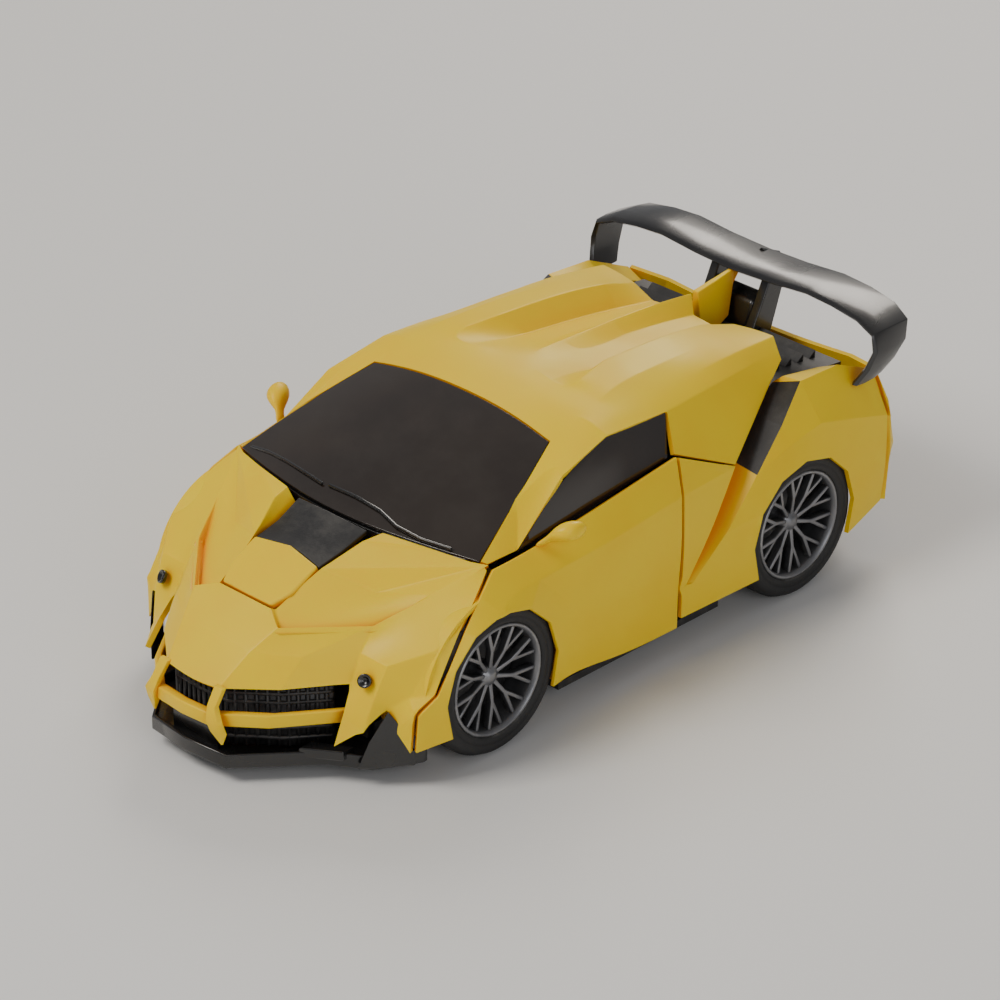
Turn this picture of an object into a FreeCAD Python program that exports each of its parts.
"""Transforming robot car, in its car shape.

A battery car of about 1:22 scale that stands up into a robot.  The rear half of the
car stays on the ground as the robot's base.  Hinged to the front of that base are the
legs, which lie flat under the car; hinged to the legs is the torso, which carries the
roof; hinged to the torso is the bonnet, which stays level while everything turns; and
the front wings with the doors and front wheels slide out of the bonnet as the arms.

Frame: millimetres, +Z up, nose towards -Y, the car's left side towards +X, and the
origin on the floor in the middle of the car.
"""
import FreeCAD, Part
import math
import os

V = FreeCAD.Vector

# ---------------------------------------------------------------- driving dimensions
wheel_radius = 20.0          # over the tyre
wheel_width = 14.0
rim_radius = 14.4            # where the tyre sits
axle_diameter = 3.0
half_track = 49.4            # centre line to the outer face of a wheel
front_axle_y = -48.0
rear_axle_y = 60.0

nose_y = -106.0              # front of the lower lip
tail_y = 101.0               # back of the tail bumper
wing_tip_y = 106.0           # back of the rear wing's centre fin
half_body = 49.4             # half the width over the doors
roof_z = 68.5                # highest point of the roof
belt_z = 48.6                # height where the windscreen starts
sill_z = 11.0                # lower edge of the doors
wall = 2.0                   # moulded body wall
seam = 0.8                   # gap between two body shells that part

ankle_y = -28.0              # hinge between the base and the legs
hinge_z = 10.0               # height of the ankle and knee hinges in the car shape
leg_length = 70.0            # ankle to knee
neck_y = -59.0               # hinge between the torso and the bonnet
neck_z = 28.0
crest_y = -55.0              # hinge of the bonnet flap that carries the head
crest_z = 42.5

column_half = 22.5           # half the width of the legs and the torso
pin_radius = 1.5             # every hinge pin
running = 0.05               # radial clearance round a pin that turns
gap = 0.4                    # clearance between parts that pass each other
floor_gap = 3.0              # ground clearance under the base

gear_pitch = 2.4             # tooth to tooth round the pitch circle

# ---------------------------------------------------------------- derived places
knee_y = ankle_y + leg_length
axle_radius = axle_diameter / 2
axle_z = wheel_radius
wheel_inner = half_track - wheel_width
arch_radius = wheel_radius + 2.0           # opening in the body skin round a wheel
well_radius = arch_radius + 1.2            # outside of the moulded wheel well
well_inner = wheel_inner - 4.4             # inner face of the wheel well's back plate
well_plate = 1.6
rail_inner = -(well_inner - 3.0)           # a slide rail's end, past the centre line
cabin_half = half_body - 6.4               # half the width of the cabin at its foot
door_inner = cabin_half + gap              # nothing of a door is nearer the middle
BIG = 200.0


# ---------------------------------------------------------------- plain helpers
def box(x0, x1, y0, y1, z0, z1):
    """A block between two corners."""
    return Part.makeBox(x1 - x0, y1 - y0, z1 - z0, V(x0, y0, z0))


def rod(y, z, radius, x0, x1):
    """A cylinder along X."""
    return Part.makeCylinder(radius, x1 - x0, V(x0, y, z), V(1, 0, 0))


def post(x, y, radius, z0, z1):
    """A cylinder along Z."""
    return Part.makeCylinder(radius, z1 - z0, V(x, y, z0), V(0, 0, 1))


def face(points):
    """A flat face inside a closed outline."""
    return Part.Face(Part.makePolygon(points + [points[0]]))


def side_prism(outline, x0, x1):
    """An outline of (y, z) points carried from x0 to x1."""
    return face([V(x0, y, z) for y, z in outline]).extrude(V(x1 - x0, 0, 0))


def plan_prism(outline, z0, z1):
    """An outline of (x, y) points carried from z0 to z1."""
    return face([V(x, y, z0) for x, y in outline]).extrude(V(0, 0, z1 - z0))


def front_prism(outline, y0, y1):
    """An outline of (x, z) points carried from y0 to y1."""
    return face([V(x, y0, z) for x, z in outline]).extrude(V(0, y1 - y0, 0))


def both_sides(outline):
    """A half outline of (x, other) points with its mirror image across x = 0."""
    return outline + [(-x, v) for x, v in reversed(outline) if abs(x) > 1e-6]


def mirrored(shape):
    """The same shape on the car's other side."""
    return shape.mirror(V(0, 0, 0), V(1, 0, 0))


def joined(shapes):
    """Several solids as one."""
    whole = shapes[0]
    if len(shapes) > 1:
        whole = whole.fuse(shapes[1:])
    return whole.removeSplitter()


def inset(outline, by):
    """An outline moved inwards by a wall's thickness."""
    flat = face([V(a, b, 0) for a, b in outline])
    if by == 0:
        return outline
    smaller = flat.makeOffset2D(-by, 2)
    wire = smaller.Faces[0].OuterWire if smaller.Faces else smaller.Wires[0]
    return [(v.X, v.Y) for v in wire.OrderedVertexes]


def largest(shape):
    """The biggest solid of a result that a cut has left in pieces."""
    return max(shape.Solids, key=lambda s: s.Volume)


def save(name, shape):
    """Writes one node, after a look at its soundness."""
    if not shape.isValid() or not shape.Solids:
        raise ValueError(name + " isn't a sound solid")
    solid = shape.Solids[0] if len(shape.Solids) == 1 else Part.Compound(shape.Solids)
    solid.exportStep("parts/" + name + ".step")


def save_pair(name, left):
    """Writes the left piece and its mirror image."""
    save(name + "_left", left)
    save(name + "_right", mirrored(left))


# ---------------------------------------------------------------- body envelope
def side_outline():
    """The car from the side, (y, z), along its centre line."""
    hood_z = belt_z - 3.6
    return [(nose_y + 3, 4.0), (nose_y, 18.0), (nose_y + 4, 24.5), (nose_y + 22, 38.0),
            (nose_y + 36, hood_z), (crest_y, belt_z + 1.4), (-11.0, roof_z - 2.5),
            (2.0, roof_z), (42.0, roof_z - 1.0), (70.0, roof_z - 4.0),
            (tail_y - 11, roof_z - 12), (tail_y - 2, 42.0), (tail_y, 28.0),
            (tail_y - 6, 12.0), (rear_axle_y, 7.0), (-60.0, 4.0)]


def body_front_outline():
    """The lower body from the front, (x, z): sills, doors and shoulders."""
    return both_sides([(0.0, belt_z + 9.0), (cabin_half - 6.0, belt_z + 7.0),
                       (cabin_half + 0.9, belt_z + 6.0), (cabin_half + 2.4, belt_z),
                       (half_body, 36.0), (half_body, sill_z), (half_body - 2.4, 3.0)])


def cabin_front_outline():
    """The cabin from the front, (x, z): it leans in towards the roof."""
    return both_sides([(0.0, roof_z + 0.5), (half_body - 19.4, roof_z - 0.9),
                       (half_body - 11.4, roof_z - 5.5), (cabin_half - 0.4, belt_z),
                       (cabin_half, belt_z - 6.0), (cabin_half, 3.0)])


def plan_outline():
    """The car from above, (x, y)."""
    return both_sides([(0.0, nose_y), (13.0, nose_y + 1), (29.0, nose_y + 19),
                       (38.0, nose_y + 26), (half_body - 2.4, nose_y + 38),
                       (half_body, nose_y + 46), (half_body, tail_y - 16),
                       (half_body - 3.4, tail_y - 3), (half_body - 9, tail_y),
                       (0.0, tail_y)])


def haunch_outlines():
    """The swollen rear wings: from the side (y, z), and from the front (x, z)."""
    side = [(30.0, sill_z), (30.0, 55.0), (48.0, 58.0), (63.0, 59.6), (79.0, 58.0),
            (92.0, 52.0), (tail_y - 4, 42.0), (tail_y, 30.0), (tail_y - 8, sill_z)]
    front = [(half_body, sill_z), (half_body, 38.0), (half_body - 5, 58.0),
             (half_body - 12, 60.5), (half_body - 17, 50.0), (half_body - 17, sill_z)]
    return side, front


def cabin_envelope(by):
    """The solid cabin, every face moved in by a thickness."""
    side = side_prism(inset(side_outline(), by), -BIG, BIG)
    front = front_prism(inset(cabin_front_outline(), by), -BIG, BIG)
    return side.common(front)


def body_envelope(by):
    """The solid lower body with its haunches, every face moved in by a thickness."""
    main = side_prism(inset(side_outline(), by), -BIG, BIG)
    main = main.common(front_prism(inset(body_front_outline(), by), -BIG, BIG))
    plan = plan_prism(inset(plan_outline(), by), -BIG, BIG)
    side, front = haunch_outlines()
    haunch = side_prism(inset(side, by), -BIG, BIG)
    haunch = haunch.common(front_prism(inset(front, by), -BIG, BIG))
    return main.common(plan).fuse([haunch.common(plan), mirrored(haunch).common(plan)])


def make_skin(envelope, thickness):
    """A hollow shell, open below."""
    hollow = envelope(thickness)
    below = []
    for drop in (5.0, 10.0):
        lower = hollow.copy()
        lower.translate(V(0, 0, -drop))
        below.append(lower)
    return envelope(0).cut(hollow.fuse(below))


# ---------------------------------------------------------------- where the body parts
door_seam = [(13.0, sill_z - 11), (14.5, sill_z), (18.0, 53.3)]
window_line = [(-46.5, 45.6), (-34.5, 46.5), (18.0, 53.3)]
quarter_line = [(20.0, 57.2), (62.0, 56.0)]
roof_end = (70.5, roof_z - 4.5)
roof_tail_half = half_body - 15.4          # half the width of the roof's back end


def foot_curve(behind):
    """The windscreen's curved foot in plan, from the right side to the left."""
    steps, sweep = 8, 9.5
    shares = [2 * i / steps - 1 for i in range(steps + 1)]
    return [((cabin_half + 1) * share, crest_y + behind + sweep * share ** 2)
            for share in shares]


def bonnet_region():
    """Everything ahead of the front wings and the windscreen."""
    side = [(-BIG, -10), (-69.3, -10), (-69.3, 11), (-65.3, 32.5), (-52.3, 44.0),
            (-46.5, 48.0), (-46.5, BIG), (-BIG, BIG)]
    ahead = side_prism(side, -BIG, BIG)
    foot = foot_curve(0.0)
    plan = [(-BIG, foot[0][1])] + foot + [(BIG, foot[-1][1]), (BIG, -BIG), (-BIG, -BIG)]
    return ahead.common(plan_prism(plan, -10, BIG))


def arm_region():
    """A front wing and its door, on the left side."""
    side = [(-69.3 + seam, -10), (-69.3 + seam, 11), (-65.3 + seam, 32.5),
            (-52.3 + seam, 44.0 - seam / 2), (-46.0 + seam, 45.6 - seam / 2)]
    side += [(y, z - seam / 2) for y, z in window_line[1:]]
    side += [(door_seam[2][0] - seam / 2, door_seam[2][1] - seam),
             (door_seam[1][0] - seam / 2, door_seam[1][1]),
             (door_seam[0][0] - seam / 2, door_seam[0][1] - 10)]
    return side_prism(side, door_inner, BIG)


def cabin_region():
    """The roof, pillars and windows that rise with the torso."""
    side = [(-BIG, belt_z - 0.6), (-36.0, belt_z - 0.6), (window_line[2][0], belt_z + 3.0),
            (quarter_line[0][0], quarter_line[0][1] + seam / 2),
            (quarter_line[1][0], quarter_line[1][1] + seam / 2),
            (roof_end[0] - 6, roof_end[1] - 4.4), roof_end,
            (roof_end[0] + 5, BIG), (-BIG, BIG)]
    whole = side_prism(side, -BIG, BIG)
    foot = foot_curve(seam)
    taper = both_sides([(cabin_half + 1, door_seam[2][0] + 6),
                        (roof_tail_half, roof_end[0]), (roof_tail_half, BIG)])
    plan = foot + taper
    return whole.common(plan_prism(plan, -10, BIG))


def screen_region():
    """The windscreen's glass, a little inside the pillars and the roof's front edge."""
    top = -12.0
    foot = [(x * 0.965, y) for x, y in foot_curve(seam - 1)]
    plan = foot + [(cabin_half - 12.8, top), (0.0, top + 1.5), (-cabin_half + 12.8, top)]
    return plan_prism(plan, -10, BIG)


def window_region():
    """A door window's glass, on the left side."""
    side = [(-35.0, belt_z - 0.2), (16.0, belt_z + 5.4), (20.5, roof_z - 6.6),
            (0.5, roof_z - 4.8), (-17.0, roof_z - 7.8)]
    return side_prism(side, 30.0, BIG)


def quarter_region():
    """A rear wing, on the left side."""
    side = [(door_seam[0][0] + seam / 2, -10), (door_seam[1][0] + seam / 2, door_seam[1][1]),
            (door_seam[2][0] + seam / 2, door_seam[2][1] - seam),
            (door_seam[2][0] + 1.4, door_seam[2][1] - seam),
            (door_seam[2][0] + 2.8, quarter_line[0][1] - seam / 2),
            (quarter_line[1][0], quarter_line[1][1] - seam / 2),
            (roof_end[0] - 4, roof_end[1] - 6.4), (roof_end[0] + 4, roof_end[1] - 1),
            (roof_end[0] + 10, BIG), (tail_y - 7, BIG), (tail_y - 7, -10)]
    return side_prism(side, roof_tail_half + 1.0, BIG)


# ---------------------------------------------------------------- wheels
def arches(shape):
    """Cuts the four wheel openings."""
    for y in (front_axle_y, rear_axle_y):
        shape = shape.cut([rod(y, axle_z, arch_radius, well_inner, BIG),
                           rod(y, axle_z, arch_radius, -BIG, -well_inner)])
        below = box(-BIG, BIG, y - arch_radius + 1, y + arch_radius - 1, -20, axle_z - 9)
        shape = shape.cut(below)
    return shape


def tyre(y):
    """A tyre on the left side, its tread rounded at both shoulders."""
    mid = half_track - wheel_width / 2
    half = wheel_width / 2
    shoulder = 2.4
    seat = rim_radius + 0.02
    outline = [V(mid - half, y, axle_z + seat), V(mid + half, y, axle_z + seat),
               V(mid + half, y, axle_z + wheel_radius - shoulder),
               V(mid + half - shoulder, y, axle_z + wheel_radius),
               V(mid - half + shoulder, y, axle_z + wheel_radius),
               V(mid - half, y, axle_z + wheel_radius - shoulder)]
    return face(outline).revolve(V(0, y, axle_z), V(1, 0, 0), 360)


def rim(y, bore):
    """A wheel with ten spokes on the left side."""
    outer, inner = half_track - 0.6, wheel_inner + 0.6
    lip = 1.8
    ring = rod(y, axle_z, rim_radius, inner, outer)
    ring = ring.cut(rod(y, axle_z, rim_radius - lip, inner - 1, outer + 1))
    hub = rod(y, axle_z, 4.0, inner, outer - 1.2)
    spokes = []
    count = 10
    for i in range(count):
        spoke = box(outer - 4.2, outer - 1.6, y - 0.8, y + 0.8, axle_z + 3, axle_z + rim_radius - 1)
        spoke.rotate(V(0, y, axle_z), V(1, 0, 0), 360 * i / count)
        spokes.append(spoke)
    disc = rod(y, axle_z, rim_radius - 1, inner + 3, inner + 4.6)
    whole = joined([ring, hub, disc] + spokes)
    return whole.cut(rod(y, axle_z, bore, inner - 1, outer - 2.6))


def gear(y, z, teeth, bore, x0, x1, phase=0.0):
    """A spur gear along X with straight-sided teeth, turned by a share of one tooth."""
    pitch_radius = gear_pitch * teeth / (2 * math.pi)
    root, tip = pitch_radius - 0.75, pitch_radius + 0.45
    points = []
    for i in range(teeth):
        for share, radius in ((-0.24, root), (-0.11, tip), (0.11, tip), (0.24, root)):
            turn = 2 * math.pi * (i + share + phase) / teeth
            points.append(V(x0, y + radius * math.cos(turn), z + radius * math.sin(turn)))
    body = face(points).extrude(V(x1 - x0, 0, 0))
    return body.cut(rod(y, z, bore, x0 - 1, x1 + 1))


# ---------------------------------------------------------------- base
tray_half = 28.6             # half the width of the tray between the wheels
rail_wall = 2.4
tray_floor = 1.6
leg_floor = floor_gap + tray_floor
pod_outer = half_body - wall - 5.0
gearbox_front = rear_axle_y - 11.4
gearbox_back = rear_axle_y + 11.4
gearbox_half = tray_half - rail_wall
gearbox_top = 43.0
motor_radius = 7.0
mesh = 0.25                  # how far gears stand apart beyond their pitch circles
axle_gear_teeth, drive_pinion_teeth = 24, 9
lift_gear_teeth, lift_pinion_teeth = 12, 9
drive_motor_z = axle_z + mesh + gear_pitch * (axle_gear_teeth + drive_pinion_teeth) / (2 * math.pi)
lift_motor_y = ankle_y + mesh + gear_pitch * (lift_gear_teeth + lift_pinion_teeth) / (2 * math.pi)
lift_motor_z = hinge_z
cell_radius = 5.25
cell_length = 44.5
screw_radius = 1.3
battery_half = cell_length / 2 + 0.6
battery_front = gearbox_back + 1.0
battery_back = battery_front + 4 * cell_radius + 1.0
switch_x = 8.0
switch_y = 36.0


def base_tray():
    """The chassis that stays on the ground."""
    front = ankle_y - 14.0
    lugs = ankle_y + 9.0
    back = tail_y - 9
    floor = box(-tray_half, tray_half, front, back, floor_gap, leg_floor)
    rail_x = tray_half - rail_wall / 2
    rails = [box(s * rail_x - rail_wall / 2, s * rail_x + rail_wall / 2, lugs, back,
                 floor_gap, hinge_z + 3) for s in (-1, 1)]
    cheeks = [box(s * (tray_half - 2.2) - 2.2, s * (tray_half - 2.2) + 2.2, front, lugs,
                  floor_gap, hinge_z + 5) for s in (-1, 1)]
    nose = box(-tray_half, tray_half, front, front + 4.5, floor_gap, hinge_z - 1)
    pods = [box(s * (tray_half + pod_outer) / 2 - (pod_outer - tray_half) / 2 - 1,
                s * (tray_half + pod_outer) / 2 + (pod_outer - tray_half) / 2 + 1,
                front_axle_y + well_radius + 3, rear_axle_y - arch_radius - 2,
                floor_gap + 1, floor_gap + 1 + wall) for s in (-1, 1)]
    body = joined([floor, nose] + rails + cheeks + pods)
    body = body.cut(rod(ankle_y, hinge_z, pin_radius, -BIG, BIG))
    skids = [box(s * 15 - 5, s * 15 + 5, front + 1, front + 7, 1.2, floor_gap) for s in (-1, 1)]
    body = joined([body] + skids)
    wells = [box(s * (tray_half + 20) - 20, s * (tray_half + 20) + 20,
                 rear_axle_y - arch_radius - 1, rear_axle_y + arch_radius + 1,
                 -1, gearbox_top) for s in (-1, 1)]
    body = body.cut(wells)
    hatch = box(-battery_half - 0.8, battery_half + 0.8, battery_front + 2.2,
                battery_back - 2.2, floor_gap - 1, leg_floor + 1)
    slot = box(switch_x - 3.2, switch_x + 3.2, switch_y - 5.4, switch_y + 5.4, 0, leg_floor + 1)
    shaft = rod(lift_motor_y, lift_motor_z, 1.0 + running, 0, tray_half + 1)
    well = box(column_half - 0.2, column_half + 2.0, ankle_y - 8, lift_motor_y + 6,
               leg_floor - 0.6, hinge_z + 9)
    return largest(body.cut([hatch, slot, shaft, well, base_screws()]))


def gearbox_housing():
    """The box round the rear axle that holds the drive motor and the gears."""
    half = gearbox_half
    shell = 1.4
    outside = box(-half, half, gearbox_front, gearbox_back, leg_floor, gearbox_top)
    inside = box(-half + shell, half - shell, gearbox_front + shell, gearbox_back - shell,
                 leg_floor + shell, gearbox_top - shell)
    hole = rod(rear_axle_y, axle_z, axle_radius + running, -BIG, BIG)
    web = box(5.0, 6.6, gearbox_front + shell, gearbox_back - shell,
              leg_floor + shell, gearbox_top - shell)
    web = web.cut([rod(rear_axle_y, drive_motor_z, 2.6, 0, 10)])
    whole = joined([outside.cut(inside), web])
    seat = rod(rear_axle_y, drive_motor_z, motor_radius, 4, 5)
    return whole.cut([hole, seat, base_screws()])


def drive_motor():
    """The can motor that turns the rear axle."""
    can = rod(rear_axle_y, drive_motor_z, motor_radius, -16.0, 5.0)
    cap = rod(rear_axle_y, drive_motor_z, motor_radius - 2.5, -17.6, -16.0)
    flats = [box(-18, 6, rear_axle_y - 10, rear_axle_y + 10, drive_motor_z + s * 9 - 3.2,
                 drive_motor_z + s * 9 + 3.2) for s in (-1, 1)]
    body = joined([can, cap]).cut(flats)
    shaft = rod(rear_axle_y, drive_motor_z, 0.9, 4.0, 13.4)
    return joined([body, shaft])


def drive_pinion():
    """The small gear on the drive motor's shaft."""
    return gear(rear_axle_y, drive_motor_z, drive_pinion_teeth, 0.9 + running, 8.2, 12.6, 0.25)


def axle_gear():
    """The large gear on the rear axle."""
    return gear(rear_axle_y, axle_z, axle_gear_teeth, axle_radius, 8.0, 12.8)


def rear_axle():
    """The steel rod through both rear wheels."""
    reach = half_track - 3.4
    return rod(rear_axle_y, axle_z, axle_radius, -reach, reach)


def lift_motor():
    """The motor with its own gears that raises the robot, in the left side pod."""
    x0, low = tray_half, floor_gap + 1 + wall
    front = front_axle_y + well_radius + 3.4
    can = box(x0, pod_outer - 1, front, front + 30, low, low + 2 * motor_radius - 2)
    nose = box(x0, x0 + 2.2, lift_motor_y - 4.4, front, low, low + 12)
    bore = rod(lift_motor_y, lift_motor_z, 1.0 + running, x0 - 1, x0 + 6)
    return joined([can, nose]).cut(bore)


def lift_pinion():
    """The last small gear of the lifting train and its shaft."""
    teeth = gear(lift_motor_y, lift_motor_z, lift_pinion_teeth, 0.9, column_half + 0.2,
                 column_half + 1.4)
    shaft = rod(lift_motor_y, lift_motor_z, 1.0, column_half + 0.2, tray_half + 2)
    return joined([teeth, shaft])


def battery_pack():
    """Three small cells, two below and one above, welded as a pack."""
    y0 = battery_front + cell_radius + 0.5
    z0 = leg_floor + cell_radius + 1.0
    step = 2 * cell_radius
    places = [(y0, z0), (y0 + step, z0), (y0 + step / 2, z0 + step * math.sqrt(3) / 2)]
    cells = [rod(y, z, cell_radius - 0.02, -cell_length / 2, cell_length / 2) for y, z in places]
    return Part.Compound(cells)


def battery_box():
    """The tray's compartment for the cells, with a lid above them."""
    top = leg_floor + 4 * cell_radius + 2.4
    outside = box(-battery_half - wall, battery_half + wall, battery_front, battery_back + wall,
                  leg_floor, top)
    inside = box(-battery_half, battery_half, battery_front + 0.4, battery_back,
                 leg_floor - 1, top - 1.4)
    return outside.cut(inside)


def battery_cover():
    """The hatch under the tray that closes the battery compartment."""
    plate = box(-battery_half - 0.8, battery_half + 0.8, battery_front + 2.2,
                battery_back - 2.2, floor_gap, leg_floor)
    grip = [box(-6, 6, battery_front + 5 + 2.5 * i, battery_front + 6.2 + 2.5 * i,
                floor_gap - 1, floor_gap + 0.6) for i in range(3)]
    return plate.cut(grip)


def circuit_board():
    """The receiver and motor driver board over the gearbox."""
    top = gearbox_top
    board = box(-20, 20, gearbox_front + 2, battery_back, top, top + 1.6)
    chips = [box(-12, -4, 55, 63, top + 1.6, top + 3.0), box(3, 9, 57, 63, top + 1.6, top + 2.8),
             box(10, 16, 74, 82, top + 1.6, top + 3.4), box(-14, -9, 72, 84, top + 1.6, top + 3.8)]
    return joined([board] + chips)


def power_switch():
    """The slide switch under the tray, in its off position."""
    knob = box(switch_x - 2.4, switch_x + 2.4, switch_y - 4.8, switch_y - 0.8,
               floor_gap - 0.8, leg_floor)
    ridge = box(switch_x - 2.4, switch_x + 2.4, switch_y - 3.4, switch_y - 2.2,
                floor_gap - 1.4, floor_gap - 0.8)
    return joined([knob, ridge])


def rear_deck():
    """The black louvred engine cover between the rear wings."""
    half = half_body - 15.0
    front, back = gearbox_back - 8, tail_y - 10
    outline = [(front, gearbox_top + 8), (front, gearbox_top + 10), (back, gearbox_top + 7),
               (back, gearbox_top + 5)]
    plate = side_prism(outline, -half, half)
    slats = []
    for i in range(5):
        y = front + 3 + 4.6 * i
        z = gearbox_top + 10 - 3 * (y - front) / (back - front)
        slats.append(side_prism([(y, z - 0.6), (y + 3.0, z + 1.6), (y + 3.0, z - 0.8)],
                                -half + 6, half - 6))
    return joined([plate] + slats)


def centre_fin():
    """The yellow fin that runs back from the roof to the wing."""
    deck = gearbox_top + 8
    return side_prism([(roof_end[0] + 3.5, deck), (roof_end[0] + 5.5, roof_end[1] - 2),
                       (wing_tip_y - 18.4, roof_end[1] + 1.5), (wing_tip_y - 23, deck)],
                      -1.6, 1.6)


def rear_wing():
    """The black wing: a blade swept down at both ends, on two centre posts."""
    half = half_body - 0.4
    blade_y, chord, thick = wing_tip_y - 18.0, 9.0, 1.8
    top = roof_z - 0.6
    outline = [(-half, top - 5.5), (-half + 12, top - 1.0), (-half + 26, top), (0, top - 0.4)]
    upper = outline + [(-x, z) for x, z in reversed(outline[:-1])]
    lower = [(x, z - thick) for x, z in reversed(upper)]
    blade = front_prism(upper + lower, blade_y, blade_y + chord)
    ends = []
    for s in (-1, 1):
        plate = [(blade_y - 8.5, 50.0), (blade_y - 1, 49.0), (blade_y + chord, top - 8),
                 (blade_y + chord, top - 5.2), (blade_y, top - 5.2)]
        ends.append(side_prism(plate, s * (half - 2.4) - 1.0, s * (half - 2.4) + 1.0))
    fin = side_prism([(blade_y + chord - 1, top - 1.6), (wing_tip_y, top - 4.6),
                      (blade_y + chord - 1, top - 6)], -1.0, 1.0)
    post_side = [(blade_y - 6, gearbox_top + 6), (blade_y + 1, gearbox_top + 6),
                 (blade_y + chord - 2, top - 1.2), (blade_y + 1, top - 1.2)]
    posts = [side_prism(post_side, s * 9 - 1.2, s * 9 + 1.2) for s in (-1, 1)]
    return joined([blade, fin] + ends + posts)


def tail_bumper(skin):
    """The tail panel and diffuser across the back."""
    region = box(-BIG, BIG, tail_y - 7 + seam, BIG, -10, BIG)
    panel = largest(skin.common(region))
    top = box(-half_body + 16, half_body - 16, tail_y - 7 + seam, tail_y, 44, 47)
    return panel.cut(box(-BIG, BIG, 0, BIG, 46, BIG)).cut(top)


def base_screws():
    """The screws that hold the gearbox to the tray."""
    half = gearbox_half - 5.0
    return Part.Compound([post(s * half, y, screw_radius, floor_gap, leg_floor + 4)
                          for s in (-1, 1) for y in (gearbox_front + 4, gearbox_back - 4)])


# ---------------------------------------------------------------- legs
leg_top = hinge_z - 0.4      # top of the black lower legs
shin_top = hinge_z + 3.4
torso_low = hinge_z + 4.2    # lowest face of the torso over the shins
bar_width = 13.0
eye_radius = 3.2             # round the ankle pin
hub_half = 7.6               # half the width of the torso's knee barrel


def leg_frame():
    """The two black legs, joined by a bar, with their ankle and knee eyes."""
    low = leg_floor + gap
    inner = column_half - bar_width
    parts = []
    for s in (-1, 1):
        mid = s * (inner + bar_width / 2)
        half = bar_width / 2
        parts.append(box(mid - half, mid + half, ankle_y, knee_y, low, leg_top))
        parts.append(rod(ankle_y, hinge_z, eye_radius, mid - half, mid + half))
        parts.append(rod(knee_y, hinge_z, hinge_z - low, mid - half, mid + half))
    parts.append(box(-column_half, column_half, ankle_y + 30, ankle_y + 37, low, leg_top))
    whole = joined(parts)
    whole = whole.cut(rod(ankle_y, hinge_z, pin_radius + running, -BIG, BIG))
    return whole.cut(rod(knee_y, hinge_z, pin_radius, -BIG, BIG))


def shin_guards():
    """The silver shin guards on both legs, boxy with ribs across them."""
    inner = column_half - bar_width
    y0, y1 = ankle_y + leg_length - 31.0, knee_y - 7.5
    body = box(inner, column_half, y0, y1, leg_top, shin_top)
    bevel = side_prism([(y0 - 1, shin_top - 1.6), (y0 - 1, shin_top + 1), (y0 + 2.2, shin_top + 1)],
                       inner - 1, column_half + 1)
    ribs = [box(inner - 1, inner + 7, y, y + 0.7, shin_top - 0.7, shin_top + 1)
            for y in (y0 + 6, y0 + 12, y0 + 18)]
    left = body.cut([bevel] + ribs)
    return Part.Compound([left, mirrored(left)])


def lift_gear():
    """The gear on the ankle that the lifting train turns."""
    return gear(ankle_y, hinge_z, lift_gear_teeth, pin_radius + running, column_half,
                column_half + 1.4)


def pin(y, z, half):
    """A hinge pin with small heads."""
    return rod(y, z, pin_radius, -half, half)


# ---------------------------------------------------------------- torso and cabin
torso_top = neck_z
torso_front = neck_y + 24.6
torso_back = knee_y - 24.0
plate_back = torso_low + 2.8 # where the silver plates meet the black torso
web_x = column_half - 2.0


def torso_frame():
    """The black box of the torso, its neck frame, knee barrel and the webs to the roof."""
    core = box(-column_half, column_half, torso_front, torso_back, plate_back, torso_top)
    hollow = box(-column_half + 3, column_half - 3, torso_front + 3, torso_back - 3,
                 plate_back + 3, torso_top + 1)
    knee = rod(knee_y, hinge_z, 5.0, -hub_half, hub_half)
    arm = box(-hub_half, hub_half, torso_back - 3, knee_y + 4.4, plate_back + 3, torso_top)
    stem = box(-hub_half, hub_half, knee_y - 4.4, knee_y + 4.4, hinge_z, torso_top)
    neck_side = [(torso_front + 1, neck_z - 6), (neck_y, neck_z - 4), (neck_y, neck_z + 3.4),
                 (torso_front + 1, torso_top)]
    neck_x = column_half - 4.5
    necks = [side_prism(neck_side, s * neck_x - 2.5, s * neck_x + 2.5) for s in (-1, 1)]
    eyes = [rod(neck_y, neck_z, 4.0, s * neck_x - 2.5, s * neck_x + 2.5) for s in (-1, 1)]
    cross = box(-neck_x, neck_x, torso_front - 12, torso_front - 8, neck_z - 4, neck_z)
    web = [(-20.0, torso_top - 2), (torso_back, torso_top - 2), (torso_back + 14, roof_z - 6.2),
           (-4.0, roof_z - 6.2)]
    webs = [side_prism(web, s * web_x - 1.0, s * web_x + 1.0) for s in (-1, 1)]
    whole = joined([core.cut(hollow), knee, arm, stem, cross] + necks + eyes + webs)
    whole = whole.cut(rod(knee_y, hinge_z, pin_radius + running, -BIG, BIG))
    return whole.cut([rod(neck_y, neck_z, pin_radius, -BIG, BIG), torso_screws()])


def sloped(plate, low, high, middle):
    """Bevels a downward-facing plate so that it rises from its middle to both sides."""
    sides = [front_prism([(s * middle, low - 0.1), (s * 40.0, low - 0.1), (s * 40.0, high)],
                         -BIG, BIG) for s in (-1, 1)]
    return largest(plate.cut(sides))


def chest_plate():
    """The silver chest, a wide V that narrows to the waist, facing down in the car."""
    low = hinge_z + eye_radius + 0.5
    back = pelvis_front - 1.0
    outline = both_sides([(0.0, torso_front + 4), (8.0, torso_front + 0.5),
                          (column_half, torso_front + 3), (column_half - 4, torso_front + 12),
                          (12.0, torso_front + 20), (9.5, back - 8), (5.0, back - 1),
                          (0.0, back)])
    return sloped(plan_prism(outline, low, plate_back), low, plate_back - 0.8, 7.0)


pelvis_front = knee_y - 39.0


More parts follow.
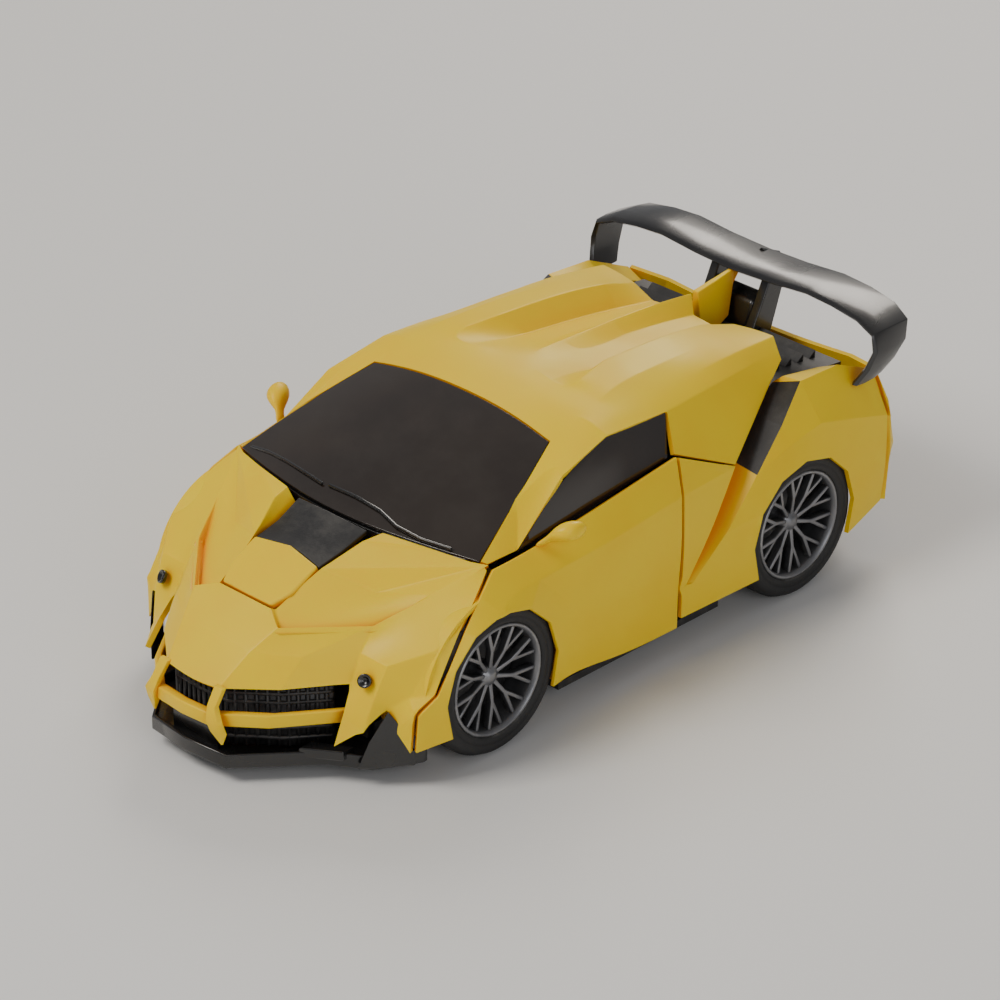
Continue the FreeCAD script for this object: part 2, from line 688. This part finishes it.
def pelvis_plate():
    """The silver hip plate with a central tongue, facing down in the car."""
    front = pelvis_front
    outline = both_sides([(0.0, front + 1.5), (5.0, front + 1.5), (column_half, front),
                          (column_half, front + 9), (9.0, front + 19), (5.5, front + 27),
                          (0.0, front + 27)])
    plate = plan_prism(outline, torso_low, plate_back)
    return sloped(plate, torso_low, plate_back - 0.6, 6.0)


def thigh_pistons():
    """The two silver coiled thighs, slanting from the hips to the knees."""
    coil_radius, core_radius, coils = 3.2, 2.7, 5
    z = plate_back + coil_radius
    thighs = []
    for s in (-1, 1):
        start = V(s * 12.5, torso_back - 0.5, z)
        line = V(s * 17.5, knee_y - 6.0, z) - start
        rings = [Part.makeCylinder(coil_radius, 1.8, start + line * ((i + 0.5) / coils), line)
                 for i in range(coils)]
        core = Part.makeCylinder(core_radius, line.Length, start, line)
        thigh = joined([core] + rings)
        thighs.append(thigh.cut(box(-BIG, BIG, -BIG, torso_back, -BIG, BIG)))
    return Part.Compound(thighs)


def torso_screws():
    """The screws that hold the roof to the torso's webs."""
    low, high = roof_z - 12, roof_z - 4.2
    return Part.Compound([post(s * web_x, y, screw_radius / 2, low, high)
                          for s in (-1, 1) for y in (4.0, 22.0)])


# ---------------------------------------------------------------- bonnet, flap and head
flap_half = 11.0             # half the width of the opening that the head comes through
flap_front = nose_y + 20.0
flap_pin_y = crest_y - 2.6
crest_pin_radius = 1.0
pan_floor = 6.0


def opening(margin, back):
    """The outline of the bonnet flap in plan, six-sided, larger by a margin."""
    half = flap_half + margin
    front = flap_front - margin
    return both_sides([(0.0, front), (half - 2.5, front), (half, front + 5), (half, back),
                       (0.0, back)])


def wheel_room():
    """The room that a wheel well and an arm's bars need beside the bonnet, on both sides."""
    shapes = []
    for s in (-1, 1):
        near, far = sorted((s * (well_inner - gap), s * BIG))
        shapes.append(rod(front_axle_y, axle_z, well_radius + gap, near, far))
        near, far = sorted((s * (well_inner - gap - 1), s * BIG))
        shapes.append(box(near, far, rail_front - gap, rail_back + 9, rail_low - gap,
                          rail_low + 4 * rail_pitch))
    return shapes


def bonnet(skin):
    """The yellow bonnet, bumper and headlight corners."""
    shell = largest(skin.common(bonnet_region()))
    shell = shell.cut(plan_prism(opening(gap, BIG), 30, BIG))
    mouth = box(-27.0, 27.0, nose_y - 5, nose_y + 28, 14.5, 21.0)
    under = box(-BIG, BIG, -BIG, BIG, -10, pan_floor + 3.2)
    tabs = [box(s * (flap_half + 2.6) - 1.0, s * (flap_half + 2.6) + 1.0, flap_pin_y - 2.6,
                flap_pin_y + 1.6, crest_z - 2.0, belt_z - 0.8) for s in (-1, 1)]
    whole = joined([shell.cut([mouth, under] + wheel_room())] + tabs)
    whole = whole.cut([rod(flap_pin_y, crest_z, crest_pin_radius, -BIG, BIG), splitter()])
    return largest(whole)


def splitter():
    """The black lip under the nose with its raised corner horns."""
    corner = half_body - 4.8
    half = both_sides([(0.0, nose_y), (13.0, nose_y + 1.5), (28.0, nose_y + 20.5),
                       (38.0, nose_y + 26.5), (corner, nose_y + 38.0),
                       (corner, neck_y - 9), (0.0, neck_y - 9)])
    lip = plan_prism(half, pan_floor - 1.5, pan_floor + 1.0)
    horn_x = half_body - 10.2
    horn = [(nose_y + 27, pan_floor), (nose_y + 40, pan_floor), (nose_y + 38, pan_floor + 6),
            (nose_y + 31, pan_floor + 13)]
    horns = [side_prism(horn, s * horn_x - 1.4, s * horn_x + 1.4) for s in (-1, 1)]
    return largest(joined([lip] + horns).cut(wheel_room()))


def grille_insert():
    """The black mesh behind the mouth of the bumper."""
    plan = both_sides([(0.0, nose_y + 7), (12.0, nose_y + 9), (26.0, nose_y + 23.5),
                       (26.0, nose_y + 25), (12.0, nose_y + 11), (0.0, nose_y + 9)])
    return plan_prism(plan, pan_floor + 1.0, pan_floor + 15.5)


rail_front = neck_y - 13.0
rail_back = neck_y - 9.0
rail_height = 2.2
rail_pitch = 3.0
rail_low = pan_floor + 2.8


def rail_heights(side):
    """Where the two bars of one arm lie; the other arm's lie between them."""
    start = rail_low if side > 0 else rail_low + rail_pitch
    return [start, start + 2 * rail_pitch]


def rail_guide():
    """The block on the bonnet's floor that the arms' bars slide through, and the neck lugs."""
    reach = well_inner - 0.8
    top = rail_low + 4 * rail_pitch + 0.8
    block = box(-reach, reach, rail_front - 1.6, rail_back + 1.6, pan_floor + 1.0, top)
    slots = []
    for s in (-1, 1):
        for z in rail_heights(s):
            slots.append(box(-BIG, BIG, rail_front - running, rail_back + running,
                             z - running, z + rail_height + running))
    lugs = []
    for s in (-1, 1):
        x = s * (column_half + 2.4)
        side = [(rail_back, pan_floor + 1), (rail_back + 5, pan_floor + 1),
                (neck_y + 4, neck_z - 2), (neck_y + 4, neck_z + 3), (neck_y, neck_z + 4.5),
                (rail_back, neck_z + 4.5)]
        lugs.append(side_prism(side, x - 1.8, x + 1.8))
    whole = joined([block.cut(slots)] + lugs)
    return whole.cut(rod(neck_y, neck_z, pin_radius + running, -BIG, BIG))


def flap(skin):
    """The six-sided bonnet flap that becomes the crest behind the head."""
    plate = largest(skin.common(plan_prism(opening(0.0, crest_y - 1.5), 30, BIG)))
    stem = box(-flap_half + 0.4, flap_half - 0.4, flap_pin_y - 3.4, flap_pin_y + 1.1,
               crest_z - 1.6, belt_z - 0.8)
    whole = joined([plate, stem])
    return whole.cut([rod(flap_pin_y, crest_z, crest_pin_radius + running, -BIG, BIG)])


def cowl_outline():
    """The black cowl in plan, narrower at its front."""
    return both_sides([(0.0, crest_y - 13.5), (6.5, crest_y - 13.5), (10.5, crest_y - 2.0),
                       (0.0, crest_y - 2.0)])


def head(flap_solid):
    """The head, hanging face down under the flap with its crown towards the nose."""
    centre = V(0, flap_pin_y - 14.4, crest_z - 9.0)
    skull = Part.makeSphere(9.0, V(0, 0, 0))
    stretch = FreeCAD.Matrix()
    stretch.scale(0.95, 1.06, 0.92)
    stretch.move(centre)
    skull = skull.transformGeometry(stretch)
    neck = box(-4.0, 4.0, flap_pin_y - 7.4, flap_pin_y - 3.4, crest_z - 10.0, crest_z + 1.0)
    block = box(-5.0, 5.0, flap_pin_y - 19.4, flap_pin_y - 4.4, crest_z - 3.0, crest_z + 4)
    ears = [box(s * 8.2 - 0.9, s * 8.2 + 0.9, centre.y - 4, centre.y + 4, crest_z - 12,
                crest_z - 5) for s in (-1, 1)]
    above = []
    for lift in (0.0, 1.5, 3.0, 4.5):
        raised = flap_solid.copy()
        raised.translate(V(0, 0, lift))
        above.append(raised)
    return largest(joined([skull, neck, block] + ears).cut(above))


# ---------------------------------------------------------------- arms
def wheel_well():
    """The smooth moulded bowl behind the left front wheel."""
    outer = half_body - wall - 0.2
    back = rod(front_axle_y, axle_z, well_radius, well_inner, outer)
    hollow = rod(front_axle_y, axle_z, arch_radius, well_inner + well_plate, outer + 1)
    below = box(0, BIG, front_axle_y - 40, front_axle_y + 40, -20, axle_z - 9)
    boss = rod(front_axle_y, axle_z, 4.6, well_inner, wheel_inner - 0.4)
    whole = joined([back.cut([hollow, below]), boss])
    return whole.cut(rod(front_axle_y, axle_z, axle_radius, 0, BIG))


def arm_shell(skin):
    """The yellow front wing and door on the left."""
    return largest(skin.common(arm_region()))


def door_mirror():
    """The left door mirror on its stalk."""
    stalk = [(-27.5, 44.0), (-24.0, 44.4), (-23.0, 51.0), (-26.0, 51.0)]
    body = side_prism(stalk, door_inner + 1.2, half_body - 1.0)
    head_part = box(half_body - 2.0, half_body + 3.6, -27.5, -21.5, 49.5, 54.0)
    return joined([body, head_part])


def slide_rails(side):
    """The two bars that carry one arm, through the bonnet's guide block."""
    bars = []
    for z in rail_heights(side):
        x0, x1 = rail_inner, well_inner
        if side < 0:
            x0, x1 = -well_inner, -rail_inner
        bars.append(box(x0, x1, rail_front, rail_back, z, z + rail_height))
    return Part.Compound(bars)


def stub_axle():
    """The steel pin that a front wheel turns on."""
    return joined([rod(front_axle_y, axle_z, axle_radius, well_inner, half_track - 3.4)])


# ---------------------------------------------------------------- write the nodes
def main():
    os.makedirs("parts", exist_ok=True)
    skin = arches(make_skin(body_envelope, wall))
    cabin = largest(make_skin(cabin_envelope, wall).common(cabin_region()))
    windows = [window_region(), mirrored(window_region())]
    quarter = largest(skin.common(quarter_region()))
    quarters = [quarter, mirrored(quarter)]
    deck = rear_deck().cut(quarters)

    save("base_tray", base_tray())
    save_pair("rear_quarter", quarter)
    save("tail_bumper", tail_bumper(skin))
    save("rear_deck", deck)
    save("rear_wing", largest(rear_wing().cut(quarters + [deck])))
    save("centre_fin", largest(centre_fin().cut([deck])))
    save("gearbox_housing", gearbox_housing())
    save("drive_motor", drive_motor())
    save("lift_motor", lift_motor())
    save("battery_box", battery_box())
    save("battery_pack", battery_pack())
    save("battery_cover", battery_cover())
    save("circuit_board", circuit_board())
    save("power_switch", power_switch())
    save("ankle_pin", pin(ankle_y, hinge_z, tray_half))
    save("base_screws", base_screws())

    save("rear_axle", rear_axle())
    save("axle_gear", axle_gear())
    save("drive_pinion", drive_pinion())
    save("lift_pinion", lift_pinion())
    save_pair("rear_rim", rim(rear_axle_y, axle_radius))
    save_pair("rear_tyre", tyre(rear_axle_y))

    save("leg_frame", leg_frame())
    save("shin_guards", shin_guards())
    save("knee_pin", pin(knee_y, hinge_z, column_half))
    save("lift_gear", lift_gear())

    save("torso_frame", torso_frame())
    save("chest_plate", chest_plate())
    save("pelvis_plate", pelvis_plate())
    save("thigh_pistons", thigh_pistons())
    save("torso_screws", torso_screws())
    roof = largest(cabin.cut(windows + [screen_region(), torso_screws()]))
    save("roof_shell", roof.cut(torso_frame()))
    save("windscreen", largest(cabin.common(screen_region())))
    save("side_windows", Part.Compound([largest(cabin.common(w)) for w in windows]))
    save("neck_pin", pin(neck_y, neck_z, column_half + 4.2))

    save("bonnet", bonnet(skin))
    save("front_splitter", splitter())
    save("grille_insert", grille_insert())
    save("rail_guide", rail_guide())
    save("crest_pin", rod(flap_pin_y, crest_z, crest_pin_radius, -flap_half - 3.6,
                          flap_half + 3.6))
    plate = flap(skin)
    cowl = largest(plate.common(plan_prism(cowl_outline(), belt_z - 7, BIG)))
    plate = largest(plate.cut(cowl))
    save("bonnet_flap", plate)
    save("cowl_panel", cowl)
    save("robot_head", head(joined([plate, cowl])))

    well = wheel_well()
    wing = largest(arm_shell(skin).cut(well))
    save_pair("front_wing", wing)
    save_pair("door_mirror", largest(door_mirror().cut(wing)))
    save_pair("wheel_well", well)
    save("slide_rails_left", slide_rails(1))
    save("slide_rails_right", slide_rails(-1))
    save_pair("stub_axle", stub_axle())
    save_pair("front_rim", rim(front_axle_y, axle_radius + running))
    save_pair("front_tyre", tyre(front_axle_y))


main()
